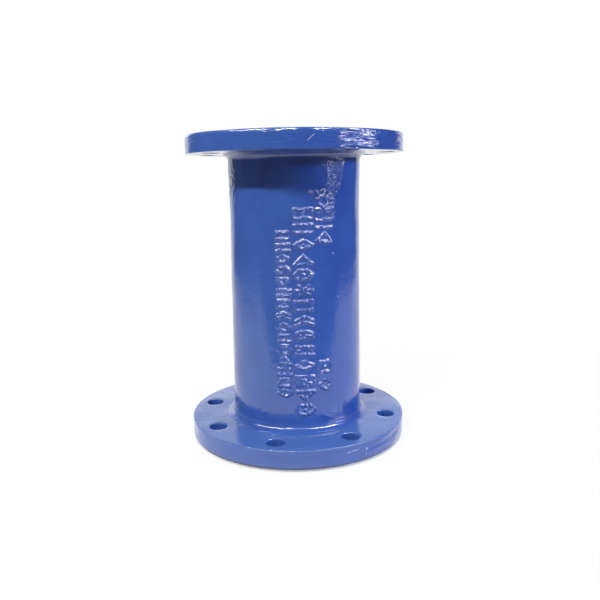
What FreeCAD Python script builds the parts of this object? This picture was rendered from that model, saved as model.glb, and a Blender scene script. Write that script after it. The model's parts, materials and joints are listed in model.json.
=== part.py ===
"""Double-flanged pipe spool: one iron casting that stands on its lower flange.

Frame: millimetres, +Z up along the bore, origin at the centre of the lower mating face. One end is modelled from
the mating face to the middle of the barrel, with its flange, hub round and bolt holes, and the whole of it is then
mirrored, as the two ends are alike. The bolt holes straddle the X and Y axes.
"""

import FreeCAD, Part
import math
import os
import Sketcher

NODE = "spool_casting"

# Driving dimensions
SIZES = {
    "face_to_face": 400.0,
    "pipe_diameter": 170.0,
    "wall_thickness": 7.8,
    "bolt_circle_offset": 35.0,
    "bolt_hole_diameter": 23.0,
    "bolt_hole_count": 8,
    "bolt_edge_distance": 22.5,
    "rim_thickness": 24.0,
    "face_height": 3.0,
    "face_bolt_clearance": 3.0,
    "hub_round": 14.0,
    "rim_bevel": 2.0,
    "bore_bevel": 1.5,
}

# Lengths that follow from them: radii from the axis and heights above the lower mating face
BOLT_CIRCLE_RADIUS = "sizes.pipe_diameter / 2 + sizes.bolt_circle_offset"
SECTION = {
    "bore_radius": "sizes.pipe_diameter / 2 - sizes.wall_thickness",
    "barrel_radius": "sizes.pipe_diameter / 2",
    "face_radius": BOLT_CIRCLE_RADIUS + " - sizes.bolt_hole_diameter / 2 - sizes.face_bolt_clearance",
    "flange_radius": BOLT_CIRCLE_RADIUS + " + sizes.bolt_edge_distance",
    "face_step": "sizes.face_height",
    "flange_back": "sizes.face_height + sizes.rim_thickness",
    "half_length": "sizes.face_to_face / 2",
}
BOLT_HOLE = {
    "bolt_circle_radius": BOLT_CIRCLE_RADIUS,
    "bolt_hole_diameter": "sizes.bolt_hole_diameter",
    "straddle_angle": "180 deg / sizes.bolt_hole_count",
}

# Part of a cut's expected volume that it may be out by
VOLUME_TOLERANCE = 0.001


def make_sheet(doc):
    """The spreadsheet of driving dimensions, one aliased row each."""
    sheet = doc.addObject("Spreadsheet::Sheet", "sizes")
    for row, (alias, value) in enumerate(SIZES.items(), start=1):
        sheet.set(f"A{row}", alias.replace("_", " "))
        sheet.set(f"B{row}", str(value))
        sheet.setAlias(f"B{row}", alias)
    doc.recompute()
    return sheet


def evaluate(sheet, formulas):
    """Each formula's value, as a plain number in millimetres or degrees."""
    values = {}
    for name, formula in formulas.items():
        value = sheet.evalExpression(formula)
        values[name] = float(getattr(value, "Value", value))
    return values


def new_sketch(body, name, plane_role):
    """A sketch flat on one of the body's own origin planes."""
    plane = next(item for item in body.Origin.OriginFeatures if item.Role == plane_role)
    sketch = body.newObject("Sketcher::SketchObject", name)
    sketch.AttachmentSupport = (plane, "")
    sketch.MapMode = "FlatFace"
    return sketch


def bind(sketch, name, formula, constraint):
    """Add a named dimension that follows the formula."""
    index = sketch.addConstraint(constraint)
    sketch.renameConstraint(index, name)
    sketch.setExpression("Constraints." + name, formula)


def draw_section(body, at):
    """Half of the wall's section, on the X-Z plane, from the mating face up to the middle of the barrel."""
    sketch = new_sketch(body, "end_section", "XZ_Plane")
    corners = [
        (at["bore_radius"], 0.0),
        (at["face_radius"], 0.0),
        (at["face_radius"], at["face_step"]),
        (at["flange_radius"], at["face_step"]),
        (at["flange_radius"], at["flange_back"]),
        (at["barrel_radius"], at["flange_back"]),
        (at["barrel_radius"], at["half_length"]),
        (at["bore_radius"], at["half_length"]),
    ]
    points = [FreeCAD.Vector(x, y, 0) for x, y in corners]
    count = len(points)
    for i in range(count):
        sketch.addGeometry(Part.LineSegment(points[i], points[(i + 1) % count]), False)
    for i in range(count):
        sketch.addConstraint(Sketcher.Constraint("Coincident", i, 2, (i + 1) % count, 1))
        direction = "Horizontal" if i % 2 == 0 else "Vertical"
        sketch.addConstraint(Sketcher.Constraint(direction, i))
    origin = (-1, 1)
    sketch.addConstraint(Sketcher.Constraint("PointOnObject", 0, 1, -1))
    # Start points of the lines that carry each radius and each height
    for name, line in (("bore_radius", 0), ("face_radius", 1), ("flange_radius", 3), ("barrel_radius", 5)):
        bind(sketch, name, SECTION[name], Sketcher.Constraint("DistanceX", *origin, line, 1, at[name]))
    for name, line in (("face_step", 2), ("flange_back", 4), ("half_length", 6)):
        bind(sketch, name, SECTION[name], Sketcher.Constraint("DistanceY", *origin, line, 1, at[name]))
    return sketch


def draw_bolt_hole(body, at):
    """One bolt hole's circle on the X-Y plane, half a pitch round from the X axis, on a construction line."""
    sketch = new_sketch(body, "bolt_hole_outline", "XY_Plane")
    out = FreeCAD.Rotation(FreeCAD.Vector(0, 0, 1), at["straddle_angle"]).multVec(FreeCAD.Vector(1, 0, 0))
    centre = out * at["bolt_circle_radius"]
    ray = sketch.addGeometry(Part.LineSegment(FreeCAD.Vector(0, 0, 0), centre), True)
    circle = sketch.addGeometry(
        Part.Circle(centre, FreeCAD.Vector(0, 0, 1), at["bolt_hole_diameter"] / 2), False)
    sketch.addConstraint(Sketcher.Constraint("Coincident", ray, 1, -1, 1))
    sketch.addConstraint(Sketcher.Constraint("Coincident", ray, 2, circle, 3))
    angle = FreeCAD.Units.Quantity(at["straddle_angle"], FreeCAD.Units.Angle)
    bind(sketch, "straddle_angle", BOLT_HOLE["straddle_angle"],
         Sketcher.Constraint("Angle", -1, 1, ray, 1, angle))
    bind(sketch, "bolt_circle_radius", BOLT_HOLE["bolt_circle_radius"],
         Sketcher.Constraint("Distance", ray, at["bolt_circle_radius"]))
    bind(sketch, "bolt_hole_diameter", BOLT_HOLE["bolt_hole_diameter"],
         Sketcher.Constraint("Diameter", circle, at["bolt_hole_diameter"]))
    return sketch


def circle_edges(feature, radius, height):
    """Names of the feature's round edges that have this radius and lie level at this height."""
    names = []
    for number, edge in enumerate(feature.Shape.Edges, start=1):
        curve = edge.Curve
        if not isinstance(curve, Part.Circle):
            continue
        level = abs(abs(curve.Axis.z) - 1.0) < 1e-6 and abs(curve.Center.z - height) < 1e-4
        if level and abs(curve.Radius - radius) < 1e-4:
            names.append(f"Edge{number}")
    if not names:
        raise RuntimeError(f"no edge of radius {radius} at height {height}")
    return names


def finish_edges(body, kind, base, edges, size):
    """A Fillet or Chamfer of the named size on the base's edges."""
    feature = body.newObject("PartDesign::" + kind, size + "_edges")
    feature.Base = (base, edges)
    feature.setExpression("Radius" if kind == "Fillet" else "Size", "sizes." + size)
    body.Document.recompute()
    return feature


def check_cut(before, after, expected, what):
    """Stop when a cut hasn't taken the volume that it should."""
    removed = before.Shape.Volume - after.Shape.Volume
    if abs(removed - expected) > VOLUME_TOLERANCE * expected:
        raise RuntimeError(f"{what} removed {removed:.0f} mm3 where {expected:.0f} mm3 was expected")


def make_end(body, at):
    """One end turned from its section, with its hub rounded and the edges of its rim and bore bevelled."""
    turned = body.newObject("PartDesign::Revolution", "turned_end")
    section = draw_section(body, at)
    turned.Profile = section
    turned.ReferenceAxis = (section, ["V_Axis"])
    turned.Angle = 360
    body.Document.recompute()
    section.Visibility = False

    hub_edge = circle_edges(turned, at["barrel_radius"], at["flange_back"])
    end = finish_edges(body, "Fillet", turned, hub_edge, "hub_round")
    rim_edges = circle_edges(end, at["flange_radius"], at["flange_back"])
    rim_edges += circle_edges(end, at["flange_radius"], at["face_step"])
    end = finish_edges(body, "Chamfer", end, rim_edges, "rim_bevel")
    bore_edge = circle_edges(end, at["bore_radius"], 0.0)
    return finish_edges(body, "Chamfer", end, bore_edge, "bore_bevel")


def drill_flange(body, end, at, sheet):
    """The ring of bolt holes through one flange."""
    hole = body.newObject("PartDesign::Pocket", "bolt_hole")
    hole.Profile = draw_bolt_hole(body, at)
    hole.Type = "ThroughAll"
    hole.Reversed = True
    body.Document.recompute()
    hole_volume = math.pi * (at["bolt_hole_diameter"] / 2) ** 2 * sheet.rim_thickness
    check_cut(end, hole, hole_volume, "the first bolt hole")

    ring = body.newObject("PartDesign::PolarPattern", "bolt_hole_ring")
    ring.Originals = [hole]
    ring.Axis = (hole.Profile[0], ["N_Axis"])
    ring.Angle = 360
    ring.setExpression("Occurrences", "sizes.bolt_hole_count")
    body.Tip = ring
    body.Document.recompute()
    check_cut(end, ring, hole_volume * sheet.bolt_hole_count, "the ring of bolt holes")
    return ring


def mirror_end(body, end):
    """The other end: all of the first one, mirrored about the level plane half way up."""
    base_plane = next(item for item in body.Origin.OriginFeatures if item.Role == "XY_Plane")
    middle = body.newObject("PartDesign::Plane", "middle_plane")
    middle.AttachmentSupport = (base_plane, "")
    middle.MapMode = "FlatFace"
    middle.setExpression(".AttachmentOffset.Base.z", SECTION["half_length"])
    body.Document.recompute()

    both = body.newObject("PartDesign::Mirrored", "both_ends")
    both.TransformMode = "Whole shape"
    both.MirrorPlane = (middle, [""])
    body.Tip = both
    body.Document.recompute()
    if abs(both.Shape.Volume - 2 * end.Shape.Volume) > VOLUME_TOLERANCE * end.Shape.Volume:
        raise RuntimeError("the mirrored end doesn't double the casting")
    return both


def make_casting(doc, sheet):
    """The whole casting as one body."""
    at = evaluate(sheet, {**SECTION, **BOLT_HOLE})
    body = doc.addObject("PartDesign::Body", NODE)
    body.Label = NODE
    end = make_end(body, at)
    end = drill_flange(body, end, at, sheet)
    mirror_end(body, end)
    body.Placement = FreeCAD.Placement()
    return body


def check(doc, bodies):
    """Every object computed, and each body one valid solid."""
    for item in doc.Objects:
        if "Invalid" in item.State or "Error" in item.State:
            raise RuntimeError(f"{item.Name} failed: {item.State}")
    for body in bodies:
        shape = body.Shape
        if shape.isNull() or not shape.isValid() or len(shape.Solids) != 1:
            raise RuntimeError(f"{body.Label} isn't one valid solid")


def main():
    doc = FreeCAD.newDocument("pipe_spool")
    sheet = make_sheet(doc)
    bodies = [make_casting(doc, sheet)]
    doc.recompute()
    check(doc, bodies)
    os.makedirs("parts", exist_ok=True)
    for body in bodies:
        body.Shape.exportStep(f"parts/{body.Label}.step")
        box = body.Shape.optimalBoundingBox()
        print(f"{body.Label}: {box.XLength:.1f} x {box.YLength:.1f} x {box.ZLength:.1f} mm, "
              f"{body.Shape.Volume / 1e6:.3f} litres of iron, {len(body.Shape.Faces)} faces")


main()
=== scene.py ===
"""Looks of the double-flanged pipe spool: its cast skin under a glossy blue epoxy coat, on a white stage.

Laid out as an add-on. Sizes and colours are properties, the casting and the stage are operators, and a
panel in the sidebar lists them. Lengths are in metres, in the frame of the CAD model: +Z up the bore, the
floor at z = 0, and the foundry marks on the -Y side.
"""

import json
import math

import bpy
import numpy as np
from bpy.props import FloatProperty, FloatVectorProperty, PointerProperty
from mathutils import Matrix, Vector


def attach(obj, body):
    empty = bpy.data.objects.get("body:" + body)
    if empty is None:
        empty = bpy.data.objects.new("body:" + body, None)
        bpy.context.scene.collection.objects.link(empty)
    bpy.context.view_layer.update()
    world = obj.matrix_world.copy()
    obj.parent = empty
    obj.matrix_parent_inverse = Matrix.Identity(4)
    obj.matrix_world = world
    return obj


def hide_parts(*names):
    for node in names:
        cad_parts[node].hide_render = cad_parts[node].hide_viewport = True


bl_info = {
    "name": "Flanged Pipe Spool",
    "version": (1, 0, 0),
    "blender": (4, 5, 0),
    "location": "View3D > Sidebar > Pipe Spool",
    "description": "Cast skin, foundry marks, epoxy coat and stage of a double-flanged pipe spool",
    "category": "Object",
}

NODE = "spool_casting"
BODY = "root"
PIECE = "spool_cast_skin"
MM = 0.001

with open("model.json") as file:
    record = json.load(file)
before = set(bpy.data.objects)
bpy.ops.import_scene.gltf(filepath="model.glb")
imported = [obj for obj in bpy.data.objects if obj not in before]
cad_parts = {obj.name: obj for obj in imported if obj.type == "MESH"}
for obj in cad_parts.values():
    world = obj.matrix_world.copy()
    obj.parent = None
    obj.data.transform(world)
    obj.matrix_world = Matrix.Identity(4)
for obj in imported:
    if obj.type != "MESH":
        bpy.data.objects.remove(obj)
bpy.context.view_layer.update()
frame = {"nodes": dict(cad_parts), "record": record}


def read_points(mesh, what):
    """The vertices' places ("co") or normals ("normal") as rows of x, y and z."""
    values = np.empty(len(mesh.vertices) * 3)
    mesh.vertices.foreach_get(what, values)
    return values.reshape(-1, 3)


def measure_casting():
    """Radii and heights of the CAD casting, read from its vertices and from the record's mounts."""
    points = read_points(frame["nodes"][NODE].data, "co")
    radius = np.hypot(points[:, 0], points[:, 1])
    height = points[:, 2]
    mounts = {mount["name"]: mount for mount in frame["record"]["mounts"]}
    bolts = mounts["lower_bolts"]
    slack = 1e-5

    size = {
        "length": float(height.max()),
        "bore_radius": mounts["waterway"]["dims"]["r_mm"] * MM,
        "hole_radius": bolts["dims"]["hole_r_mm"] * MM,
        "bolt_circle": bolts["dims"]["pcd_mm"] * MM / 2,
        "bolt_count": bolts["dims"]["count"],
        "face_step": bolts["pos_m"][2],
        "flange_radius": float(radius.max()),
        "face_radius": float(radius[height < slack].max()),
    }
    lower_flange = (radius > size["bolt_circle"]) & (height < size["length"] / 2)
    size["flange_back"] = float(height[lower_flange].max())
    wall = (radius > size["bore_radius"] + slack) & (height > size["flange_back"] + slack)
    wall &= height < size["length"] / 2
    size["barrel_radius"] = float(radius[wall].min())
    return {name: round(value, 6) for name, value in size.items()}


CASTING = measure_casting()

# Cells round the casting, per bolt hole and in all, and along its parts
CELLS_PER_HOLE = 20
CELLS_ROUND = CELLS_PER_HOLE * CASTING["bolt_count"]
FLANGE_CELLS = 8
HOLE_RINGS = 7
HUB_ROWS = 8
BARREL_ROWS = 74
ROUND_STEPS = 4
RIM_ROWS = 6
BORE_ROWS = 8
FACE_ROWS = 4
STEP_ROWS = 2
HOLE_ROWS = 3

# Window of finer cells under the foundry marks: columns and rows of the wall, and how many rows and columns
# each of its cells is split into
WINDOW_COLUMNS = (107, 131)
WINDOW_ROWS = (HUB_ROWS - 3, HUB_ROWS + 67)
WINDOW_SPLITS = (6, 5)

# Angle of the line up the barrel that the marks are placed from, and the two seams a quarter turn from it
MARK_LINE = -math.pi / 2
SEAM_COLUMNS = (0, CELLS_ROUND // 2)

# Height from which the barrel swells towards its upper end
SWELLING_START = 0.29


class SkinSizes(bpy.types.PropertyGroup):
    """Sizes that finish the cast skin."""

    hub_round: FloatProperty(
        name="Hub round", description="Radius of the round between the barrel and a flange's back",
        default=0.0095, min=0.001, unit="LENGTH")
    rim_round: FloatProperty(
        name="Rim round", description="How far in the rims' edges are rounded on the mating side",
        default=0.0022, min=0.0005, unit="LENGTH")
    rim_fall: FloatProperty(
        name="Rim fall", description="How far down the rims' edges are rounded on the mating side",
        default=0.0052, min=0.0005, unit="LENGTH")
    back_round: FloatProperty(
        name="Back round", description="Radius of the rims' edges on the nuts' side",
        default=0.0011, min=0.0005, unit="LENGTH")
    mouth_round: FloatProperty(
        name="Mouth round", description="Radius of the bolt holes' mouths",
        default=0.0010, min=0.0002, unit="LENGTH")
    face_round: FloatProperty(
        name="Face round", description="Radius of the raised face's outer edge",
        default=0.0004, min=0.0001, unit="LENGTH")
    bore_round: FloatProperty(
        name="Bore round", description="Radius of the bore's mouths",
        default=0.0015, min=0.0002, unit="LENGTH")
    unevenness: FloatProperty(
        name="Unevenness", description="How far the cast surface wanders from true, as an rms height",
        default=0.00011, min=0.0, unit="LENGTH")
    swelling: FloatProperty(
        name="Swelling", description="How far the barrel swells on one side and towards its upper end",
        default=0.0011, min=0.0, unit="LENGTH")
    seam_height: FloatProperty(
        name="Seam height", description="Height of the mould's parting seams",
        default=0.00022, min=0.0, unit="LENGTH")


class MarkSizes(bpy.types.PropertyGroup):
    """Sizes of the raised foundry marks."""

    relief: FloatProperty(
        name="Relief", description="Height of the marks above the barrel",
        default=0.0014, min=0.0, unit="LENGTH")
    foot: FloatProperty(
        name="Foot", description="Half the width of a stroke at the barrel",
        default=0.0024, min=0.0005, unit="LENGTH")
    roughness: FloatProperty(
        name="Roughness", description="Unevenness of the strokes' tops, as an rms height",
        default=0.00045, min=0.0, unit="LENGTH")


class CoatLook(bpy.types.PropertyGroup):
    """Colours and gloss of the epoxy coat."""

    blue: FloatVectorProperty(
        name="Blue", description="Colour of the coat at its usual thickness",
        subtype="COLOR", default=(0.040, 0.103, 0.385), min=0.0, max=1.0)
    # Also the colour of the painted dark reflection on the front of the lower rim
    deep_blue: FloatVectorProperty(
        name="Deep blue", description="Colour where the coat has run thick",
        subtype="COLOR", default=(0.034, 0.088, 0.350), min=0.0, max=1.0)
    # Paler, greyer blue of the painted sheen over the lower flange's top face
    painted_sheen: FloatVectorProperty(
        name="Dust", description="Colour of the coat under the dust on the lower flange",
        subtype="COLOR", default=(0.072, 0.146, 0.405), min=0.0, max=1.0)
    scuff: FloatVectorProperty(
        name="Scuff", description="Colour of the chips and rubbed edges",
        subtype="COLOR", default=(0.36, 0.42, 0.58), min=0.0, max=1.0)
    # Colour of the painted shade along the lowest edge, and of the dark patch at the rim's right end
    dark_edge: FloatVectorProperty(
        name="Worn", description="Colour where the coat is worn through at the lowest edge",
        subtype="COLOR", default=(0.006, 0.008, 0.022), min=0.0, max=1.0)
    roughness: FloatProperty(
        name="Roughness", description="Roughness of the coat's gloss",
        default=0.09, min=0.0, max=1.0)
    # Roughness of the painted shade along the lowest edge, and of the dark patch at the rim's right end
    dark_edge_roughness: FloatProperty(
        name="Worn roughness", description="Roughness where the coat is worn through",
        default=0.59, min=0.0, max=1.0)
    ior: FloatProperty(
        name="IOR", description="Index of refraction of the coat",
        default=1.7, min=1.0, max=3.0)


class StageLook(bpy.types.PropertyGroup):
    """Place of the camera, and levels of the floor and the world."""

    camera_angle: FloatProperty(
        name="Camera angle", description="Angle of the camera about +Z, from +X",
        subtype="ANGLE", default=math.radians(-99.35))
    camera_distance: FloatProperty(
        name="Camera distance", description="Level distance from the bore's axis to the camera",
        default=0.856, min=0.1, unit="LENGTH")
    camera_height: FloatProperty(
        name="Camera height", description="Height of the camera above the floor",
        default=0.342, min=0.0, unit="LENGTH")
    camera_pitch: FloatProperty(
        name="Camera pitch", description="Angle that the camera looks down by",
        subtype="ANGLE", default=math.radians(6.35))
    camera_yaw: FloatProperty(
        name="Camera yaw", description="Angle that the camera is turned to the right by",
        subtype="ANGLE", default=math.radians(0.39))
    camera_roll: FloatProperty(
        name="Camera roll", description="Angle that the camera is rolled by, anticlockwise as it looks",
        subtype="ANGLE", default=math.radians(-0.81))
    lens: FloatProperty(
        name="Lens", description="Focal length in millimetres on a 36 mm sensor",
        default=38.53, min=5.0)
    shift: FloatProperty(
        name="Shift", description="Vertical shift of the lens, in widths of the picture",
        default=-0.0852)
    floor_white: FloatProperty(
        name="Floor white", description="Share of plain white in the floor that the camera sees",
        default=0.93, min=0.0, max=1.0)
    ambient: FloatProperty(
        name="Ambient", description="Level of the light that comes from all round",
        default=0.17, min=0.0)


def smooth_step(value, low, high):
    """3t^2 - 2t^3, where t goes from 0 at low to 1 at high and stays there beyond them."""
    t = np.clip((value - low) / (high - low), 0.0, 1.0)
    return t * t * (3 - 2 * t)


def random_swell(points, seed, shortest, longest, count=48):
    """A smooth random height with an rms of 1: the sum of cosines of (k . p + phase).

    The wave vectors k have random directions and wavelengths from shortest to longest, in even ratios. Each
    wave's height goes with its length, so that all of them are equally steep.
    """
    rng = np.random.default_rng(seed)
    direction = rng.normal(size=(count, 3))
    direction /= np.linalg.norm(direction, axis=1, keepdims=True)
    wavelength = np.geomspace(shortest, longest, count)
    vectors = direction * (2 * math.pi / wavelength)[:, None]
    phase = rng.uniform(0, 2 * math.pi, count)
    total = np.zeros(len(points))
    for vector, shift, length in zip(vectors, phase, wavelength):
        total += length * np.cos(points @ vector + shift)
    return total / np.sqrt((wavelength ** 2).sum() / 2)


class Shell:
    """Patches of one closed surface, sewn into a mesh where their border points share a place."""

    SEWING_GRID = 0.73e-6

    def __init__(self):
        self.points = []
        self.faces = []
        self.count = 0

    def place(self, points):
        """Keep the points, an array whose last axis is x, y and z, and return their numbers."""
        shape = points.shape[:-1]
        numbers = np.arange(self.count, self.count + int(np.prod(shape))).reshape(shape)
        self.points.append(points.reshape(-1, 3))
        self.count += numbers.size
        return numbers

    def fill(self, numbers, closed=False, flip=False, keep=None):
        """Quads between neighbouring rows and columns of numbered points, facing columns x rows."""
        if closed:
            numbers = np.concatenate([numbers, numbers[..., :1]], axis=-1)
        a, b = numbers[..., :-1, :-1], numbers[..., :-1, 1:]
        c, d = numbers[..., 1:, 1:], numbers[..., 1:, :-1]
        quads = np.stack([d, c, b, a] if flip else [a, b, c, d], axis=-1)
        self.faces.append(quads[keep] if keep is not None else quads.reshape(-1, 4))

    def fan(self, near, far, edge):
        """Triangles of cells with one split side: from the near corner to its pieces and the far corner."""
        near, far = near[:, None], far[:, None]
        pieces = edge.shape[1] - 1
        slices = np.stack([np.repeat(near, pieces, axis=1), edge[:, :-1], edge[:, 1:]], axis=-1)
        self.faces.append(slices.reshape(-1, 3))
        self.faces.append(np.concatenate([near, edge[:, -1:], far], axis=1))

    def sew(self):
        """Points and faces with each shared place once. Raises an error unless every edge joins two faces."""
        points = np.concatenate(self.points)
        cells = np.round(points / self.SEWING_GRID).astype(np.int64)
        first, merged = np.unique(cells, axis=0, return_index=True, return_inverse=True)[1:]
        merged = merged.reshape(-1)
        faces = [merged[face] for face in self.faces]
        edges = [np.stack([face, np.roll(face, -1, axis=1)], axis=-1).reshape(-1, 2) for face in faces]
        ends = np.sort(np.concatenate(edges), axis=1)
        uses = np.unique(ends, axis=0, return_counts=True)[1]
        if np.any(ends[:, 0] == ends[:, 1]) or np.any(uses != 2):
            raise RuntimeError(f"{np.count_nonzero(uses != 2)} edges of the shell don't join two faces")
        return points[first], faces


def polar(radius, angle, height):
    """Points (r cos a, r sin a, z) at these radii, angles and heights."""
    return np.stack([radius * np.cos(angle), radius * np.sin(angle), height + 0 * angle], axis=-1)


def turned(profile):
    """Points of a profile carried round the bore's axis, one row of them for each (r, z)."""
    return polar(profile[:, :1], 2 * math.pi * np.arange(CELLS_ROUND) / CELLS_ROUND, profile[:, 1:])


def line(start, end, steps):
    """Profile points at even steps from one (r, z) to another."""
    return np.linspace(start, end, steps + 1)


def quarter(centre, radius, start, turn, steps=ROUND_STEPS):
    """Profile points of a quarter circle or ellipse: centre + radius (cos a, sin a), from a = start.

    The radius is one number, or one for each axis. The turn is 1 where a grows and -1 where it falls.
    """
    angle = start + turn * np.linspace(0, math.pi / 2, steps + 1)
    return np.array(centre) + np.array(radius) * np.stack([np.cos(angle), np.sin(angle)], axis=-1)


def joined(*runs):
    """One profile from runs that each start where the last one ended."""
    return np.concatenate([runs[0]] + [run[1:] for run in runs[1:]])


def other_end(profile):
    """The profile at the casting's other end: z becomes length - z, and the last point comes first."""
    return np.stack([profile[::-1, 0], CASTING["length"] - profile[::-1, 1]], axis=-1)


def wall_profile(sizes):
    """The wall from one flange's back to the other's: hub round, barrel and hub round."""
    barrel, turn = CASTING["barrel_radius"], sizes.hub_round
    foot = CASTING["flange_back"] + turn
    hub = quarter((barrel + turn, foot), turn, -math.pi / 2, -1, HUB_ROWS)
    side = line((barrel, foot), (barrel, CASTING["length"] - foot), BARREL_ROWS)
    return joined(hub, side, other_end(hub))


def rim_profile(sizes):
    """The lower flange's rim, from its mating side to its back, with both edges rounded."""
    outer, front, back = CASTING["flange_radius"], sizes.rim_round, sizes.back_round
    low, high = CASTING["face_step"] + sizes.rim_fall, CASTING["flange_back"] - back
    drawn_out = quarter((outer - front, low), (front, sizes.rim_fall), -math.pi / 2, 1, 2 * ROUND_STEPS)
    return joined(drawn_out, line((outer, low), (outer, high), RIM_ROWS),
                  quarter((outer - back, high), back, 0, 1))


def bore_profile(sizes):
    """From the upper flange over its raised face, down the bore and out over the lower raised face."""
    size, edge, mouth = CASTING, sizes.face_round, sizes.bore_round
    face, bore = size["face_radius"], size["bore_radius"]
    lower = joined(line((bore, size["length"] / 2), (bore, mouth), BORE_ROWS // 2),
                   quarter((bore + mouth, mouth), mouth, -math.pi, 1),
                   line((bore + mouth, 0), (face - edge, 0), FACE_ROWS),
                   quarter((face - edge, edge), edge, -math.pi / 2, 1),
                   line((face, edge), (face, size["face_step"]), STEP_ROWS))
    return joined(other_end(lower), lower)


def add_wall(shell, sizes):
    """The wall, with finer cells in the window under the marks and fans of triangles round it."""
    profile = wall_profile(sizes)
    rows = np.arange(len(profile))

    def surface(row, column):
        """Points at fractional rows and columns, between those of the profile."""
        radius = np.interp(row, rows, profile[:, 0])[:, None]
        height = np.interp(row, rows, profile[:, 1])[:, None]
        return polar(radius, 2 * math.pi * column / CELLS_ROUND, height)

    coarse = shell.place(surface(rows, np.arange(CELLS_ROUND)))
    (low, high), (left, right) = WINDOW_ROWS, WINDOW_COLUMNS
    row_splits, column_splits = WINDOW_SPLITS
    whole = np.ones((len(rows) - 1, CELLS_ROUND), bool)
    whole[low - 1:high + 1, left:right] = False
    whole[low:high, left - 1:right + 1] = False
    shell.fill(coarse, closed=True, keep=whole)

    fine_rows = low + np.arange((high - low) * row_splits + 1) / row_splits
    fine_columns = left + np.arange((right - left) * column_splits + 1) / column_splits
    fine = shell.place(surface(fine_rows, fine_columns))
    shell.fill(fine)

    up = np.arange(low, high)
    along = np.arange(left, right)
    side = (up - low)[:, None] * row_splits + np.arange(row_splits + 1)
    ends = (along - left)[:, None] * column_splits + np.arange(column_splits + 1)
    shell.fan(coarse[up, left - 1], coarse[up + 1, left - 1], fine[side, 0])
    shell.fan(coarse[up + 1, right + 1], coarse[up, right + 1], fine[side[:, ::-1], -1])
    shell.fan(coarse[high + 1, along], coarse[high + 1, along + 1], fine[-1, ends])
    shell.fan(coarse[low - 1, along + 1], coarse[low - 1, along], fine[0, ends[:, ::-1]])


def sector_loops(inner, outer, height):
    """The borders of the flange's sectors, one round each bolt hole: arc out, side, arc back and side."""
    steps = np.arange(CELLS_PER_HOLE) / CELLS_PER_HOLE
    climb = np.arange(FLANGE_CELLS) / FLANGE_CELLS
    share = np.concatenate([steps, 1 + 0 * climb, 1 - steps, 0 * climb])
    radius = np.concatenate([inner + 0 * steps, inner + (outer - inner) * climb,
                             outer + 0 * steps, outer + (inner - outer) * climb])
    angle = 2 * math.pi * (np.arange(CASTING["bolt_count"])[:, None] + share) / CASTING["bolt_count"]
    return polar(radius, angle, height)


def hole_centres():
    """Centres of the bolt holes at height 0, half a pitch round from +X."""
    angle = 2 * math.pi * (np.arange(CASTING["bolt_count"]) + 0.5) / CASTING["bolt_count"]
    return polar(CASTING["bolt_circle"], angle, 0.0)


def hole_bearings(loops):
    """Angles about each hole's centre for the points round it: half way from even steps to the border's."""
    offset = loops - hole_centres()[:, None]
    bearing = np.unwrap(np.arctan2(offset[..., 1], offset[..., 0]), axis=1)
    even = bearing[:, :1] - 2 * math.pi * np.arange(loops.shape[1]) / loops.shape[1]
    return (bearing + even) / 2


def hole_circle(bearing, radius, height):
    """Points round each hole at this height, at these angles and this radius from its centre."""
    return hole_centres()[:, None] + polar(radius, bearing, height)


def add_drilled_flange(shell, sizes, upper):
    """Both flat sides of a flange and the walls of its holes. Each sector's border shrinks to its hole."""
    size, mouth = CASTING, sizes.mouth_round

    def level(height):
        return size["length"] - height if upper else height

    bearings = []
    share = np.linspace(0, 1, HOLE_RINGS + 1)[:, None, None]
    sides = ((size["face_step"], size["face_radius"], sizes.rim_round),
             (size["flange_back"], size["barrel_radius"] + sizes.hub_round, sizes.back_round))
    for side, (height, inner, edge) in enumerate(sides):
        loops = sector_loops(inner, size["flange_radius"] - edge, level(height))
        bearing = hole_bearings(loops)
        circle = hole_circle(bearing, size["hole_radius"] + mouth, level(height))
        rings = loops[:, None] * (1 - share) + circle[:, None] * share
        shell.fill(shell.place(rings), closed=True, flip=(side == 1) != upper)
        bearings.append(bearing)

    radius, back = size["hole_radius"], size["flange_back"]
    wall = joined(quarter((radius + mouth, size["face_step"] + mouth), mouth, -math.pi / 2, -1),
                  line((radius, size["face_step"] + mouth), (radius, back - mouth), HOLE_ROWS),
                  quarter((radius + mouth, back - mouth), mouth, math.pi, -1))
    turn = (wall[:, 1] - wall[0, 1]) / (back - size["face_step"])
    rows = [hole_circle(bearings[0] * (1 - t) + bearings[1] * t, r, level(z))
            for (r, z), t in zip(wall, turn)]
    shell.fill(shell.place(np.stack(rows, axis=1)), closed=True, flip=upper)


def circle_outline(width, height, sides=22):
    """Strokes round an ellipse: corners at (w cos a, h sin a)."""
    angle = 2 * math.pi * np.arange(sides) / sides
    return closed_outline(np.stack([width * np.cos(angle), height * np.sin(angle)], axis=-1))


def closed_outline(corners):
    """Strokes from each corner to the next and back to the first."""
    corners = np.array(corners, float)
    return np.stack([corners, np.roll(corners, -1, axis=0)], axis=1)


def open_outline(corners):
    """Strokes from each corner to the next."""
    corners = np.array(corners, float)
    return np.stack([corners[:-1], corners[1:]], axis=1)


def crossed(width):
    """Two strokes from corner to corner of a box that reaches this far to each side."""
    strokes = [[(-width, -1), (width, 1)], [(-width, 1), (width, -1)]]
    return np.concatenate([open_outline(corners) for corners in strokes])


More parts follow.
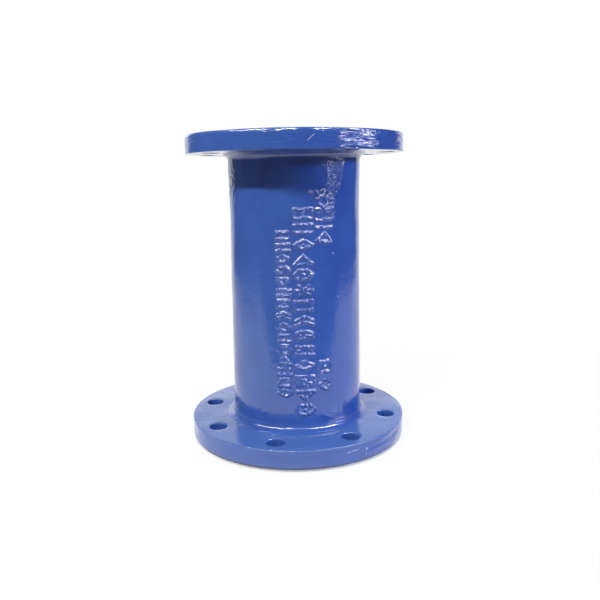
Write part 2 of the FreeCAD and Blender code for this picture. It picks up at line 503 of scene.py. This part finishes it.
def mark_shapes():
    """The foundry marks as strokes in a cell from -1 to 1 each way: across the barrel and up it."""
    bar = open_outline([(-1, 0), (1, 0)])
    stud = open_outline([(0, 0), (0.02, 0)])
    side_studs = np.concatenate([stud - (0.7, 0), stud + (0.7, 0)])
    chevron = open_outline([(-1, -0.45), (0, 0.45), (1, -0.45)])
    box = closed_outline([(-1, -1), (1, -1), (1, 1), (-1, 1)])
    diamond = closed_outline([(-1, 0), (0, -1), (1, 0), (0, 1)])
    triangle = closed_outline([(-1, -0.9), (1, -0.9), (0, 1)])
    hexagon = closed_outline([(-1, 0), (-0.5, -1), (0.5, -1), (1, 0), (0.5, 1), (-0.5, 1)])
    two_bars = np.concatenate([bar + (0, 0.85), bar - (0, 0.85)])
    return {
        "box": box,
        "box_and_stud": np.concatenate([box, stud]),
        "crossed_box": np.concatenate([box, crossed(1)]),
        "diamond": diamond,
        "diamond_and_stud": np.concatenate([diamond, stud]),
        "hexagon": hexagon,
        "hexagon_and_stud": np.concatenate([hexagon, stud]),
        "wheel": np.concatenate([circle_outline(1, 1), bar, open_outline([(0, -1), (0, 1)])]),
        "triangle": triangle,
        "low_triangle": -triangle,
        "chevrons": np.concatenate([chevron + (0, 0.5), chevron - (0, 0.5)]),
        "two_bars": two_bars,
        "bars_and_studs": np.concatenate([two_bars, side_studs]),
        "star": np.concatenate([bar, crossed(0.55)]),
    }


# Columns of marks, read down the barrel: the middle's distance round it from the mark line, the top of the
# first mark, the pitch, half a mark's width and height, and the marks
MARK_COLUMNS = (
    (-0.0295, 0.276, 0.0140, (0.0080, 0.0042),
     ("box", "two_bars", "diamond_and_stud", "hexagon", "low_triangle", "two_bars", "box_and_stud",
      "chevrons", "diamond", "bars_and_studs", "hexagon", "triangle", "two_bars", "box", "diamond_and_stud")),
    (-0.0047, 0.3045, 0.0188, (0.0112, 0.0056),
     ("box_and_stud", "two_bars", "diamond_and_stud", "triangle", "hexagon_and_stud", "star", "box",
      "chevrons", "wheel", "bars_and_studs", "diamond", "crossed_box", "low_triangle", "hexagon_and_stud")),
    (0.0222, 0.326, 0.0172, (0.0098, 0.0054), ("chevrons", "star", "two_bars", "triangle")),
    (0.0218, 0.114, 0.0220, (0.0084, 0.0068), ("box_and_stud", "diamond")),
)

# Ridge of the lump of iron that ran into a hole in the mould: places round the barrel and up it
LUMP = ((0.0012, 0.3255), (0.0065, 0.3235), (0.0115, 0.3245),
        (0.0165, 0.3195), (0.0225, 0.3185), (0.0250, 0.3135))

# Seed and sizes of the marks' slips and tilts, and the power in the shape of their strokes
MARK_SEED = 7
MARK_SLIP = 0.0005
MARK_TILT = math.radians(2.5)
RIDGE_POWER = 0.8


def stroke_distance(across, up, strokes):
    """Distance to the nearest stroke from a to b: |p - a - t (b - a)|.

    Here t is (p - a) . (b - a) / |b - a|^2, kept from 0 to 1.
    """
    nearest = np.full(across.shape, np.inf)
    for (ax, ay), (bx, by) in strokes:
        dx, dy = bx - ax, by - ay
        t = np.clip(((across - ax) * dx + (up - ay) * dy) / (dx * dx + dy * dy), 0, 1)
        nearest = np.minimum(nearest, np.hypot(across - ax - t * dx, up - ay - t * dy))
    return nearest


def placed_marks():
    """The strokes of every mark, a little out of true, in metres round the barrel and up it."""
    rng = np.random.default_rng(MARK_SEED)
    shapes = mark_shapes()
    for middle, top, pitch, (half_width, half_height), names in MARK_COLUMNS:
        for place, name in enumerate(names):
            slip_across, slip_up = rng.uniform(-MARK_SLIP, MARK_SLIP, 2)
            tilt = rng.uniform(-MARK_TILT, MARK_TILT)
            strokes = shapes[name] * (half_width, half_height)
            across = strokes[..., 0] * math.cos(tilt) - strokes[..., 1] * math.sin(tilt)
            up = strokes[..., 0] * math.sin(tilt) + strokes[..., 1] * math.cos(tilt)
            centre = (middle + slip_across, top - half_height - place * pitch + slip_up)
            yield np.stack([across, up], axis=-1) + centre


def mark_height(points, marks):
    """Height of the marks at the barrel's points: a ridge along each stroke, rough on top.

    The ridge is (1 - (d / foot)^2) to the ridge power, where d is the distance to the stroke.
    """
    angle = np.arctan2(points[:, 1], points[:, 0]) - MARK_LINE
    across = angle * CASTING["barrel_radius"]
    up = points[:, 2]
    distance = np.full(len(points), np.inf)
    for strokes in (*placed_marks(), open_outline(LUMP)):
        low = strokes.min(axis=(0, 1)) - marks.foot
        high = strokes.max(axis=(0, 1)) + marks.foot
        near = (across > low[0]) & (across < high[0]) & (up > low[1]) & (up < high[1])
        distance[near] = np.minimum(distance[near], stroke_distance(across[near], up[near], strokes))
    ridge = (1 - np.minimum(distance / marks.foot, 1) ** 2) ** RIDGE_POWER
    rough = random_swell(points, seed=23, shortest=0.0030, longest=0.0065)
    return ridge * (marks.relief + marks.roughness * rough)


def skin_offset(points, normals, skin, marks):
    """Points moved along their normals by the casting's unevenness, swelling, seams and foundry marks.

    The unevenness fades out on the machined faces and in their corners, and on the rims it only goes
    inwards, so the skin stays inside the casting's box. The barrel swells by (x / radius)^2 towards -X, and
    towards its upper end.
    """
    size, slack = CASTING, 1e-4
    barrel, flange = size["barrel_radius"], size["flange_radius"]
    radius = np.hypot(points[:, 0], points[:, 1])
    end_distance = np.minimum(points[:, 2], size["length"] - points[:, 2])
    swell = random_swell(points, seed=11, shortest=0.012, longest=0.09)
    height = skin.unevenness * swell

    # On the rims the unevenness is cut off at 2.5 times its rms, and moved in by 3 times
    rim = smooth_step(radius, flange - 0.012, flange - 0.001)
    inwards = (np.minimum(height, 2.5 * skin.unevenness) - 3 * skin.unevenness) * 0.8
    height = height * (1 - rim) + rim * inwards
    height *= smooth_step(end_distance, size["face_step"], size["face_step"] + 0.004)
    height = np.where(radius > flange - 0.0005, np.minimum(height, 0), height)

    on_wall = (radius > barrel - slack) & (radius < barrel + skin.hub_round - slack)
    on_wall &= end_distance > size["flange_back"]
    to_side = np.clip(-points[:, 0] / barrel, 0, 1) ** 2
    to_top = smooth_step(points[:, 2], SWELLING_START, size["length"] - size["flange_back"] - skin.hub_round)
    height += np.where(on_wall, skin.swelling * (to_side + to_top), 0)

    angle = np.arctan2(points[:, 1], points[:, 0])
    seam = np.zeros(len(points), bool)
    for column in SEAM_COLUMNS:
        turn = angle - 2 * math.pi * column / CELLS_ROUND
        seam |= np.abs(np.arctan2(np.sin(turn), np.cos(turn))) < 1e-3
    ripple = 0.75 + 0.25 * random_swell(points, seed=5, shortest=0.01, longest=0.04)
    height += np.where(seam & (np.abs(radius - barrel) < slack), skin.seam_height * ripple, 0)

    outside = radius > (barrel + size["bore_radius"]) / 2
    height += np.where(outside & (normals[:, 2] < 0.9), mark_height(points, marks), 0)
    return points + normals * height[:, None]


def new_mesh(name, points, faces):
    """A smooth-shaded mesh of these points and faces."""
    mesh = bpy.data.meshes.new(name)
    mesh.from_pydata(points.tolist(), [], [face for group in faces for face in group.tolist()])
    mesh.shade_smooth()
    return mesh


def new_piece(name, mesh, material):
    """An object at the origin with this mesh and material, in the scene."""
    piece = bpy.data.objects.new(name, mesh)
    mesh.materials.append(material)
    bpy.context.scene.collection.objects.link(piece)
    return piece


class Link:
    """A node's output. Sums and products of it with numbers and other outputs add Math nodes."""

    def __init__(self, socket):
        self.socket = socket
        self.tree = socket.id_data

    @staticmethod
    def node(tree, kind, settings=None, inputs=None, output=0):
        """Add a node with these settings and these values or links for its inputs, and return one output."""
        node = tree.nodes.new(kind)
        for name, value in (settings or {}).items():
            setattr(node, name, value)
        for name, value in (inputs or {}).items():
            if isinstance(value, Link):
                tree.links.new(value.socket, node.inputs[name])
            else:
                node.inputs[name].default_value = value
        return Link(node.outputs[output])

    def math(self, operation, *values):
        """A Math node in this link's tree, on these values."""
        inputs = dict(enumerate(values))
        return Link.node(self.tree, "ShaderNodeMath", {"operation": operation}, inputs)

    def __add__(self, other):
        return self.math("ADD", self, other)

    def __sub__(self, other):
        return self.math("SUBTRACT", self, other)

    def __rsub__(self, other):
        return self.math("SUBTRACT", other, self)

    def __mul__(self, other):
        return self.math("MULTIPLY", self, other)

    def __truediv__(self, other):
        return self.math("DIVIDE", self, other)

    def __pow__(self, other):
        return self.math("POWER", self, other)

    def at_most(self, other):
        return self.math("MINIMUM", self, other)

    def at_least(self, other):
        return self.math("MAXIMUM", self, other)

    def part(self, name):
        """Another output of the same node."""
        return Link(self.socket.node.outputs[name])

    def step(self, low, high):
        """0 below low and 1 above high, smooth between."""
        inputs = {"Value": self, "From Min": low, "From Max": high}
        return Link.node(self.tree, "ShaderNodeMapRange", {"interpolation_type": "SMOOTHSTEP"}, inputs)

    def band(self, middle, half_width, blur):
        """1 within half_width of middle and 0 beyond it, with edges as wide as blur."""
        apart = self.math("ABSOLUTE", self - middle)
        return 1 - apart.step(half_width - blur / 2, half_width + blur / 2)

    def between(self, first, second):
        """Value from first to second as this link goes from 0 to 1."""
        return self * (second - first) + first

    def mix(self, first, second):
        """Colour from first to second as this link goes from 0 to 1."""
        inputs = {0: self, 6: first, 7: second}
        return Link.node(self.tree, "ShaderNodeMix", {"data_type": "RGBA"}, inputs, output=2)


# Grain in the coat: cells per metre, detail and roughness of its noise, and height in metres. The runs are
# made 1 high, as their height varies round the rims.
GRAIN = {
    "peel": (190.0, 1.5, 0.5, 0.00022),
    "sand": (620.0, 2.0, 0.6, 0.00004),
    "runs": (45.0, 2.0, 0.55, 1.0),
    "bars": (27.0, 0.5, 0.5, 0.0022),
    "hub": (140.0, 2.0, 0.6, 0.0006),
    "rim_edge": (210.0, 1.0, 0.5, 0.0012),
    "marks": (230.0, 1.5, 0.5, 0.0015),
}


def noise(place, scale, detail=2.0, roughness=0.5):
    """Noise from 0 to 1 whose cells are 1 / scale metres across."""
    inputs = {"Vector": place, "Scale": scale, "Detail": detail, "Roughness": roughness}
    return Link.node(place.tree, "ShaderNodeTexNoise", {}, inputs)


def grain(place, name):
    """Bump of this kind of grain, about 0."""
    scale, detail, roughness, height = GRAIN[name]
    return (noise(place, scale, detail, roughness) - 0.5) * height


def new_material(name):
    """A node material and its empty node tree."""
    material = bpy.data.materials.new(name)
    material.use_nodes = True
    material.node_tree.nodes.clear()
    return material, material.node_tree


def add_output(tree, kind, shader):
    """Link a shader to a new output node of this kind."""
    tree.links.new(shader.socket, tree.nodes.new(kind).inputs["Surface"])


def light_path(tree, ray):
    """1 for this kind of ray and 0 for any other."""
    return Link.node(tree, "ShaderNodeLightPath", output=ray)


def mixed(tree, factor, first, second):
    """A Mix Shader node from first to second."""
    return Link.node(tree, "ShaderNodeMixShader", {}, {0: factor, 1: first, 2: second})


# Small bare spots on the side with the marks: x, z and half the width and height of each
SPOTS = (
    (0.0336, 0.2490, 0.0009, 0.0012),
    (0.0403, 0.1940, 0.0007, 0.0007),
    (0.0621, 0.0170, 0.0009, 0.0013),
    (0.0616, 0.0110, 0.0007, 0.0009),
)

# Ends of the scratch on the upper rim, in x and z
SCRATCH = ((-0.0084, 0.3827), (-0.0006, 0.3897))

# Rings on the raised faces
RING_PITCH = 0.0008
RING_HEIGHT = 0.00003


def on_line(x, z, ends, half_width):
    """1 on the line between two ends in x and z: a band across it times a band along it."""
    (x0, z0), (x1, z1) = ends
    length = math.hypot(x1 - x0, z1 - z0)
    across = ((x - x0) * (z1 - z0) - (z - z0) * (x1 - x0)) / length
    along = ((x - x0) * (x1 - x0) + (z - z0) * (z1 - z0)) / length
    return across.band(0.0, half_width, half_width) * along.band(length / 2, length / 2, 0.001)


def epoxy_coat(look, skin):
    """Glossy blue epoxy over a rough casting."""
    material, tree = new_material("glossy_blue_epoxy")
    place = Link.node(tree, "ShaderNodeTexCoord", output="Object")
    x = Link.node(tree, "ShaderNodeSeparateXYZ", {}, {"Vector": place})
    y, z = x.part("Y"), x.part("Z")
    radius = (x * x + y * y) ** 0.5
    length, step = CASTING["length"], CASTING["face_step"]
    barrel, flange, flange_back = CASTING["barrel_radius"], CASTING["flange_radius"], CASTING["flange_back"]
    marked_side = 1 - y.step(-0.03, -0.01)
    on_rim = radius.step(flange - 0.004, flange - 0.001)

    # Orange peel and the grain of the sand mould under it
    height = grain(place, "peel") + grain(place, "sand")

    # Runs of the coat round the rims, and longer bars at their right
    stretched = Link.node(tree, "ShaderNodeMapping", {}, {"Vector": place, "Scale": (1.0, 1.0, 7.0)})
    waves = noise(place, 16.0, 1.0).step(0.5, 0.7) * 0.0003 + 0.0008
    height = height + on_rim * grain(stretched, "runs") * waves
    height = height + on_rim * x.step(0.02, 0.05) * grain(stretched, "bars")

    # Grain in the lower hub and at the upper edge of the lower rim, which breaks up their highlights
    hub_foot = radius.band(barrel + 0.008, 0.008, 0.003) * z.band(flange_back + 0.005, 0.008, 0.003)
    rim_edge = radius.band(flange, 0.0010, 0.0008) * z.band(flange_back, 0.0012, 0.0008)
    height = height + hub_foot * grain(place, "hub") + rim_edge * grain(place, "rim_edge")

    # Rough iron on the tops of the marks, which stand above the barrel's own swelling
    middle = marked_side * z.band(length / 2, length / 2 - 0.045, 0.002)
    top_foot = length - flange_back - skin.hub_round
    swelling = ((0 - x / barrel).at_least(0.0) ** 2 + z.step(SWELLING_START, top_foot)) * skin.swelling
    raised = (radius - swelling).step(barrel + 0.0002, barrel + 0.0007) * middle
    height = height + raised * grain(place, "marks")

    # Rough iron in a streak beside the marks, which narrows and leans to the left downwards
    half_width = z.step(0.300, 0.352) * 0.0088 + 0.0016
    streak = x.band(z.step(0.31, 0.36) * 0.005 + 0.0340, half_width, 0.005) * marked_side
    streak = streak * z.step(0.288, 0.298) * (1 - z.step(0.3655, 0.3665))
    height = height + streak * (noise(place, 280.0, 2.0, 0.6).step(0.46, 0.66) - 0.30) * 0.0006

    # Flecks up the left side of the barrel, most of all under the flange
    limb = (1 - x.step(-0.0845, -0.0800)) * (1 - z.step(length - 0.04, length - 0.03)) * z.step(0.29, 0.34)
    height = height + limb * noise(place, 170.0, 1.5).step(0.42, 0.62) * 0.0012

    # Rings that the lathe left on the raised faces
    on_face = (1 - z.step(step / 3, step / 2) + z.step(length - step / 2, length - step / 3)).at_most(1.0)
    rings = radius.math("SINE", radius * (2 * math.pi / RING_PITCH))
    height = height + on_face * rings * RING_HEIGHT

    bump = Link.node(tree, "ShaderNodeBump", {}, {"Height": height, "Distance": 1.0, "Strength": 1.0})

    # Deeper blue at random where the coat ran thick, and a painted dark reflection across the front of the
    # lower rim
    run = (x + 0.027).band(0.0, 0.040, 0.02) * z.band(0.0165, 0.0045, 0.003) * marked_side * on_rim
    thick_and_dark_reflection = noise(place, 22.0, 3.0, 0.55).step(0.35, 0.7).at_least(run)
    # A painted sheen: paler, greyer blue over the top face of the lower flange
    painted_top_sheen = z.band(flange_back, 0.002, 0.002) * radius.step(barrel + 0.004, barrel + 0.016)

    # Bare spots and a scratch on the side with the marks
    bare = on_line(x, z, SCRATCH, 0.0004)
    for spot_x, spot_z, spot_width, spot_height in SPOTS:
        bare = bare + x.band(spot_x, spot_width, 0.0008) * z.band(spot_z, spot_height, 0.0008)
    bare = (bare * marked_side).at_most(1.0)

    # A dark, rough line of painted shade along the lowest edge, broken up by noise, and a dark, rough patch
    #     # that reaches further up at the rim's right end
    painted_edge_shade = (1 - z.step(0.0044, 0.0058)) * noise(place, 70.0, 2.0, 0.6).step(0.34, 0.42)
    right_end = x.step(0.1350, 0.1365) * (1 - z.step(0.0085, 0.0100))
    dark_edge = (painted_edge_shade.at_least(right_end) * on_rim).at_most(1.0)

    colour = thick_and_dark_reflection.mix((*look.blue, 1.0), (*look.deep_blue, 1.0))
    colour = bare.mix(painted_top_sheen.mix(colour, (*look.painted_sheen, 1.0)), (*look.scuff, 1.0))
    shader = Link.node(tree, "ShaderNodeBsdfPrincipled", {}, {
        "Base Color": dark_edge.mix(colour, (*look.dark_edge, 1.0)),
        "Roughness": dark_edge.between(look.roughness, look.dark_edge_roughness),
        "IOR": look.ior,
        "Normal": bump,
    })
    add_output(tree, "ShaderNodeOutputMaterial", shader)
    return material


class BuildCasting(bpy.types.Operator):
    """Build the casting's skin, with its flanges, bolt holes, foundry marks and epoxy coat"""

    bl_idname = "pipe_spool.build_casting"
    bl_label = "Build Casting"

    def execute(self, context):
        scene = context.scene
        skin, marks = scene.spool_skin, scene.spool_marks
        shell = Shell()
        add_wall(shell, skin)
        rim = rim_profile(skin)
        for profile in (rim, other_end(rim), bore_profile(skin)):
            shell.fill(shell.place(turned(profile)), closed=True)
        for upper in (False, True):
            add_drilled_flange(shell, skin, upper)
        points, faces = shell.sew()

        mesh = new_mesh(PIECE, points, faces)
        moved = skin_offset(read_points(mesh, "co"), read_points(mesh, "normal"), skin, marks)
        mesh.vertices.foreach_set("co", moved.ravel())
        mesh.update()
        piece = new_piece(PIECE, mesh, epoxy_coat(scene.spool_coat, skin))
        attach(piece, BODY)
        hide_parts(NODE)
        return {"FINISHED"}


def bearing(stage, azimuth, elevation):
    """Unit vector from the object, at an azimuth to the right of the camera's and an elevation."""
    angle = stage.camera_angle + math.radians(azimuth)
    level = math.cos(math.radians(elevation))
    return Vector((level * math.cos(angle), level * math.sin(angle), math.sin(math.radians(elevation))))


WHITE = (1.0, 1.0, 1.0)

# Lamps: azimuth to the right of the camera and elevation in degrees, distance, width and height in metres,
# colour, share of a white sky's light that each gives what faces it, and its level in the coat's reflections
LAMPS = {
    "key": (-34, 40, 2.0, 1.3, 0.09, (1.0, 0.98, 0.95), 1.05, 0),
    "window": (74, 17, 2.0, 1.1, 0.16, (0.42, 0.64, 1.0), 0.80, 0),
    "fill_left": (-152, 50, 2.0, 1.4, 0.5, WHITE, 0.15, 0),
    "fill_right": (152, 50, 2.0, 1.4, 0.5, WHITE, 0.15, 0),
    "behind": (176, 55, 2.2, 1.0, 0.6, WHITE, 0.20, 2.0),
    "window_strip": (68, 10.5, 2.0, 1.5, 0.05, WHITE, 0, 60),
    "row_middle": (-24, 41, 2.0, 1.3, 0.12, WHITE, 0, 75),
    "row_left": (-64, 41, 2.0, 1.0, 0.10, WHITE, 0, 60),
    "row_right": (54, 43, 2.0, 2.0, 0.12, WHITE, 0, 80),
}


def add_lamps(stage):
    """The lamps as rectangles that face the middle of the casting.

    Of an area A and at a distance d, one of P watts lights what faces it as brightly as a white sky would
    when P = pi^2 d^2, and is itself as bright as white paper is in the picture when P = pi A.
    """
    target = Vector((0, 0, CASTING["length"] / 2))
    for name, (azimuth, elevation, distance, width, height, colour, share, level) in LAMPS.items():
        energies = {"light": share * (math.pi * distance) ** 2, "glint": level * math.pi * width * height}
        for kind, energy in energies.items():
            if energy == 0:
                continue
            light = bpy.data.lights.new(f"{name}_{kind}", "AREA")
            light.shape = "RECTANGLE"
            light.size, light.size_y = width, height
            light.energy = energy
            light.color = colour
            lamp = bpy.data.objects.new(light.name, light)
            back = bearing(stage, azimuth, elevation)
            lamp.location = target + back * distance
            lamp.rotation_mode = "QUATERNION"
            lamp.rotation_quaternion = back.to_track_quat("Z", "Y")
            lamp.visible_camera = False
            lamp.visible_glossy = kind == "glint"
            lamp.visible_diffuse = kind == "light"
            bpy.context.scene.collection.objects.link(lamp)


def add_camera(stage):
    """The camera of the photograph, from its place, pitch, yaw and roll."""
    data = bpy.data.cameras.new("photograph")
    data.sensor_width = 36.0
    data.lens = stage.lens
    data.shift_y = stage.shift
    camera = bpy.data.objects.new("photograph", data)
    angle = stage.camera_angle
    away = Vector((-math.cos(angle), -math.sin(angle), 0))
    right = Vector((-math.sin(angle), math.cos(angle), 0))
    yaw, pitch, roll = stage.camera_yaw, stage.camera_pitch, stage.camera_roll
    level = away * math.cos(yaw) + right * math.sin(yaw)
    forward = level * math.cos(pitch) - Vector((0, 0, math.sin(pitch)))
    side = right * math.cos(yaw) - away * math.sin(yaw)
    over = side.cross(forward)
    across = side * math.cos(roll) + over * math.sin(roll)
    above = over * math.cos(roll) - side * math.sin(roll)
    turn = Matrix((across, above, -forward)).transposed()
    place = Vector((math.cos(angle), math.sin(angle), 0)) * stage.camera_distance
    place.z = stage.camera_height
    camera.matrix_world = Matrix.Translation(place) @ turn.to_4x4()
    bpy.context.scene.collection.objects.link(camera)
    bpy.context.scene.camera = camera


# Level of the rest of the room in the coat's reflections
DIM_ROOM = 0.12


def floor_axes(stage, place):
    """How far a place or a direction goes to the camera's right, and how far away behind the object."""
    axes = (bearing(stage, 90, 0), bearing(stage, 180, 0))
    return [Link.node(place.tree, "ShaderNodeVectorMath", {"operation": "DOT_PRODUCT"},
                      {0: place, 1: tuple(axis)}, output="Value") for axis in axes]


def floor_material(stage):
    """White paper. The camera sees it nearly plain white with a faint shadow.

    The coat sees a sheet of paper round the object, whose front edge is close, and beyond it a dark floor
    but for the part in front of the white wall.
    """
    material, tree = new_material("white_floor")
    place = Link.node(tree, "ShaderNodeTexCoord", output="Object")
    right, behind = floor_axes(stage, place)
    distance = (right * right + behind * behind).at_least(1e-6) ** 0.5
    away = behind / distance
    front_edge = right * 0.11 - (0 - right).at_least(0.0) * 0.06 - 0.35
    left_end, right_end = right.step(-1.6, -0.45), 1 - right.step(0.9, 1.5)
    sheet = left_end * right_end * (behind - front_edge).step(-0.06, 0.06)
    by_window = away.step(0.35, 0.55) * right.step(0.0, 0.2)
    by_wall = away.step(0.64, 0.76)
    # Painted reflection: for glossy rays the floor glows, above white near the object and brighter towards
    # the window
    near = 1 - distance.step(0.17, 0.30)
    reflected = (sheet * (by_window * 0.05 + near * 0.25 + 0.86) + DIM_ROOM).at_least(by_wall)

    white = (sheet * 0.65 + 0.05).at_least(light_path(tree, "Is Camera Ray") * 0.85)
    colour = Link.node(tree, "ShaderNodeCombineXYZ", {}, {0: white, 1: white, 2: white})
    paper = Link.node(tree, "ShaderNodeBsdfDiffuse", {}, {"Color": colour})
    mirrored = Link.node(tree, "ShaderNodeEmission", {}, {"Strength": reflected})
    glow = Link.node(tree, "ShaderNodeEmission", {}, {"Strength": 1.0})
    look = mixed(tree, light_path(tree, "Is Glossy Ray"), paper, mirrored)
    in_gap = 1 - distance.step(CASTING["flange_radius"] - 0.004, CASTING["flange_radius"])
    glow_share = distance.step(0.2, 0.7).between(stage.floor_white, 1.0) * (1 - in_gap * 0.6)
    look = mixed(tree, light_path(tree, "Is Camera Ray") * glow_share, look, glow)
    add_output(tree, "ShaderNodeOutputMaterial", look)
    return material


def add_floor(stage):
    """A level square of floor under the casting, out to where the camera sees only white."""
    corners = 12.0 * np.array([(-1, -1, 0), (1, -1, 0), (1, 1, 0), (-1, 1, 0)])
    mesh = new_mesh("floor", corners, [np.array([[0, 1, 2, 3]])])
    new_piece("floor", mesh, floor_material(stage))


def add_world(stage):
    """White to the camera, and an even dim light on the object.

    The coat sees a white wall behind the object and a grey one high at its left, in a dim room.
    """
    world = bpy.data.worlds.new("studio")
    world.use_nodes = True
    tree = world.node_tree
    tree.nodes.clear()
    direction = Link.node(tree, "ShaderNodeTexCoord", output="Generated")
    right, behind = floor_axes(stage, direction)
    up = Link.node(tree, "ShaderNodeSeparateXYZ", {}, {"Vector": direction}, output="Z")
    white_wall = behind.step(0.70, 0.80)
    grey_wall = up.step(0.06, 0.15) * (1 - right.step(-0.5, -0.1)) * behind.step(0.55, 0.7) * 0.5
    by_height = up.step(0.1, 0.28) * 0.3 - up.step(0.318, 0.335) * 0.6 + 1.0
    reflected = (white_wall + grey_wall) * by_height + DIM_ROOM
    level = light_path(tree, "Is Glossy Ray").between(stage.ambient, reflected)
    level = light_path(tree, "Is Camera Ray").between(level, 1.0)
    glow = Link.node(tree, "ShaderNodeBackground", {}, {"Color": (*WHITE, 1.0), "Strength": level})
    add_output(tree, "ShaderNodeOutputWorld", glow)
    bpy.context.scene.world = world


class BuildStage(bpy.types.Operator):
    """Build the floor, the world, the lamps and the camera of the photograph"""

    bl_idname = "pipe_spool.build_stage"
    bl_label = "Build Stage"

    def execute(self, context):
        stage = context.scene.spool_stage
        add_floor(stage)
        add_world(stage)
        add_lamps(stage)
        add_camera(stage)
        context.scene.view_settings.view_transform = "Standard"
        return {"FINISHED"}


class SpoolPanel(bpy.types.Panel):
    """The spool's settings and operators"""

    bl_idname = "VIEW3D_PT_pipe_spool"
    bl_label = "Pipe Spool"
    bl_space_type = "VIEW_3D"
    bl_region_type = "UI"
    bl_category = "Pipe Spool"

    def draw(self, context):
        for owner in PROPERTY_OWNERS:
            settings = getattr(context.scene, owner)
            box = self.layout.box()
            for name in settings.__annotations__:
                box.prop(settings, name)
        for operator in OPERATORS:
            self.layout.operator(operator.bl_idname)


PROPERTY_OWNERS = {
    "spool_skin": SkinSizes,
    "spool_marks": MarkSizes,
    "spool_coat": CoatLook,
    "spool_stage": StageLook,
}
OPERATORS = (BuildCasting, BuildStage)
CLASSES = (*PROPERTY_OWNERS.values(), *OPERATORS, SpoolPanel)


def register():
    for item in CLASSES:
        bpy.utils.register_class(item)
    for owner, group in PROPERTY_OWNERS.items():
        setattr(bpy.types.Scene, owner, PointerProperty(type=group))


def unregister():
    for owner in PROPERTY_OWNERS:
        delattr(bpy.types.Scene, owner)
    for item in reversed(CLASSES):
        bpy.utils.unregister_class(item)


def main():
    register()
    bpy.ops.pipe_spool.build_casting()
    bpy.ops.pipe_spool.build_stage()


if __name__ == "__main__":
    main()
